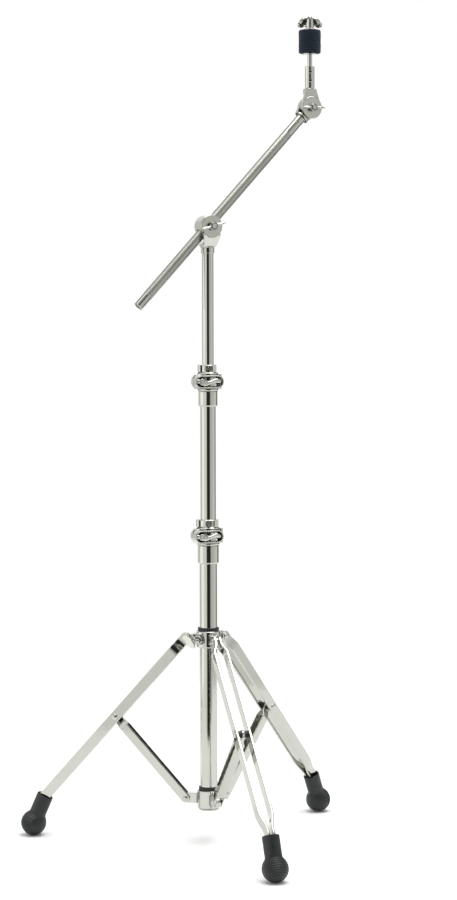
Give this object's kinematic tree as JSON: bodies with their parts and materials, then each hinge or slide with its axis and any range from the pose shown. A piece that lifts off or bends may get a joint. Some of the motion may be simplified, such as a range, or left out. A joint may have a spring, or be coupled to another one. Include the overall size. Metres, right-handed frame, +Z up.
{
  "type": "cymbal boom stand",
  "caption": "Telescoping tripod stand with a tilting boom arm and a cymbal seat: chromed tubes, clamps with lever nuts, felts under a wing nut.",
  "frame": {"origin": "on the pole's axis at floor level", "axes": "+Z up along the pole; the boom arm lies in the XZ plane and reaches towards +X; the clamp nuts face -Y"},
  "size_m": [0.5487, 0.5008, 1.341],
  "materials": {
    "chrome": "polished chrome plate on steel tube and bar",
    "cast_chrome": "chrome plate on castings",
    "zinc_steel": "bright plated steel",
    "black_rubber": "moulded black rubber",
    "black_nylon": "moulded black nylon",
    "nylon": "moulded nylon",
    "felt": "pressed wool felt, dark navy"
  },
  "bodies": {
    "base": {"base_tube": "chrome", "lower_hub": "cast_chrome", "lower_ring": "black_rubber", "base_clamp": "cast_chrome", "base_clamp_bolt": "zinc_steel"},
    "base_nut": {"base_clamp_nut": "cast_chrome"},
    "hub": {"upper_hub": "cast_chrome", "upper_ring": "black_rubber", "leg_top_rivets": "zinc_steel"},
    "hub_screw": {"hub_wing_screw": "cast_chrome"},
    "leg_1": {"leg_1_left_bar": "chrome", "leg_1_right_bar": "chrome", "leg_1_rivet": "zinc_steel", "leg_1_spacers": "black_nylon", "foot_1": "black_rubber"},
    "brace_1": {"brace_1": "chrome", "brace_1_rivet": "zinc_steel"},
    "leg_2": {"leg_2_left_bar": "chrome", "leg_2_right_bar": "chrome", "leg_2_rivet": "zinc_steel", "leg_2_spacers": "black_nylon", "foot_2": "black_rubber"},
    "brace_2": {"brace_2": "chrome", "brace_2_rivet": "zinc_steel"},
    "leg_3": {"leg_3_left_bar": "chrome", "leg_3_right_bar": "chrome", "leg_3_rivet": "zinc_steel", "leg_3_spacers": "black_nylon", "foot_3": "black_rubber"},
    "brace_3": {"brace_3": "chrome", "brace_3_rivet": "zinc_steel"},
    "middle_bush": {"base_clamp_bush": "nylon"},
    "middle": {"middle_tube": "chrome", "middle_stop_ring": "cast_chrome", "middle_stop_key": "zinc_steel", "middle_clamp": "cast_chrome", "middle_clamp_bolt": "zinc_steel"},
    "middle_nut": {"middle_clamp_nut": "cast_chrome"},
    "upper_bush": {"middle_clamp_bush": "nylon"},
    "upper": {"upper_tube": "chrome", "upper_stop_ring": "cast_chrome", "upper_stop_key": "zinc_steel", "holder_post": "cast_chrome"},
    "drum": {"boom_drum": "cast_chrome", "boom_eye_bolt": "zinc_steel"},
    "holder_nut": {"holder_wing_nut": "cast_chrome"},
    "roll_bush": {"boom_bush": "nylon"},
    "boom": {"boom_tube": "chrome", "tilter_base": "cast_chrome", "tilter_bolt": "zinc_steel"},
    "tilter_nut": {"tilter_wing_nut": "cast_chrome"},
    "rod": {"tilter_head": "cast_chrome", "rod_set_screws": "zinc_steel", "cymbal_rod": "zinc_steel", "seat_washer": "zinc_steel", "rod_sleeve": "black_nylon", "lower_felt": "felt", "upper_felt": "felt", "top_washer": "zinc_steel"},
    "top_nut": {"top_wing_nut": "cast_chrome"}
  },
  "joints": [
    {"name": "hub_slide", "type": "slide", "parent": "base", "child": "hub", "axis": [0, 0, 1], "range_m": [0, 0.08595]},
    {"name": "hub_screw_turn", "type": "hinge", "parent": "hub", "child": "hub_screw", "pos_m": [0, 0, 0.333], "axis": [-0.9026, -0.4305, 0], "continuous": true},
    {"name": "leg_1_fold", "type": "hinge", "parent": "hub", "child": "leg_1", "pos_m": [0.03385, 0.01614, 0.333], "axis": [-0.4305, 0.9026, 0], "range_deg": [0, 35.6]},
    {"name": "brace_1_fold", "type": "hinge", "parent": "leg_1", "child": "brace_1", "pos_m": [0.13851, 0.06607, 0.20193], "axis": [-0.4305, 0.9026, 0], "range_deg": [-71.2, 0]},
    {"name": "leg_2_fold", "type": "hinge", "parent": "hub", "child": "leg_2", "pos_m": [-0.0309, 0.02124, 0.333], "axis": [-0.5664, -0.8241, 0], "range_deg": [0, 35.6]},
    {"name": "brace_2_fold", "type": "hinge", "parent": "leg_2", "child": "brace_2", "pos_m": [-0.12647, 0.08692, 0.20193], "axis": [-0.5664, -0.8241, 0], "range_deg": [-71.2, 0]},
    {"name": "leg_3_fold", "type": "hinge", "parent": "hub", "child": "leg_3", "pos_m": [-0.00294, -0.03738, 0.333], "axis": [0.9969, -0.0785, 0], "range_deg": [0, 35.6]},
    {"name": "brace_3_fold", "type": "hinge", "parent": "leg_3", "child": "brace_3", "pos_m": [-0.01204, -0.15299, 0.20193], "axis": [0.9969, -0.0785, 0], "range_deg": [-71.2, 0]},
    {"name": "base_nut_turn", "type": "hinge", "parent": "base", "child": "base_nut", "pos_m": [-0.0209, 0, 0.5], "axis": [0, 1, 0], "continuous": true},
    {"name": "middle_swivel", "type": "hinge", "parent": "base", "child": "middle_bush", "pos_m": [0, 0, 0.5], "axis": [0, 0, 1], "continuous": true},
    {"name": "middle_slide", "type": "slide", "parent": "middle_bush", "child": "middle", "axis": [0, 0, 1], "range_m": [0, 0.12]},
    {"name": "middle_nut_turn", "type": "hinge", "parent": "middle", "child": "middle_nut", "pos_m": [-0.0193, 0, 0.74925], "axis": [0, 1, 0], "continuous": true},
    {"name": "upper_swivel", "type": "hinge", "parent": "middle", "child": "upper_bush", "pos_m": [0, 0, 0.75], "axis": [0, 0, 1], "continuous": true},
    {"name": "upper_slide", "type": "slide", "parent": "upper_bush", "child": "upper", "axis": [0, 0, 1], "range_m": [0, 0.12]},
    {"name": "boom_tilt", "type": "hinge", "parent": "upper", "child": "drum", "pos_m": [0, 0, 0.998], "axis": [0, 1, 0], "range_deg": [-3, 92]},
    {"name": "holder_nut_turn", "type": "hinge", "parent": "drum", "child": "holder_nut", "pos_m": [0, 0, 0.998], "axis": [0, 1, 0], "continuous": true},
    {"name": "boom_roll", "type": "hinge", "parent": "drum", "child": "roll_bush", "pos_m": [0, 0, 0.998], "axis": [0.6858, 0, 0.7278], "continuous": true},
    {"name": "boom_slide", "type": "slide", "parent": "roll_bush", "child": "boom", "axis": [0.6858, 0, 0.7278], "range_m": [-0.12, 0.13]},
    {"name": "tilter_nut_turn", "type": "hinge", "parent": "boom", "child": "tilter_nut", "pos_m": [0.18373, 0, 1.19297], "axis": [0, 1, 0], "continuous": true},
    {"name": "rod_tilt", "type": "hinge", "parent": "boom", "child": "rod", "pos_m": [0.18373, 0, 1.19297], "axis": [0, 1, 0], "range_deg": [-45, 100]},
    {"name": "top_nut_turn", "type": "hinge", "parent": "rod", "child": "top_nut", "pos_m": [0.18373, 0, 1.19297], "axis": [0, 0, 1], "continuous": true}
  ],
  "couplings": [
    {"joint": "leg_1_fold", "follows": "hub_slide", "rad_per_m": 7.2087},
    {"joint": "brace_1_fold", "follows": "hub_slide", "rad_per_m": -14.417},
    {"joint": "leg_2_fold", "follows": "hub_slide", "rad_per_m": 7.2087},
    {"joint": "brace_2_fold", "follows": "hub_slide", "rad_per_m": -14.417},
    {"joint": "leg_3_fold", "follows": "hub_slide", "rad_per_m": 7.2087},
    {"joint": "brace_3_fold", "follows": "hub_slide", "rad_per_m": -14.417}
  ]
}
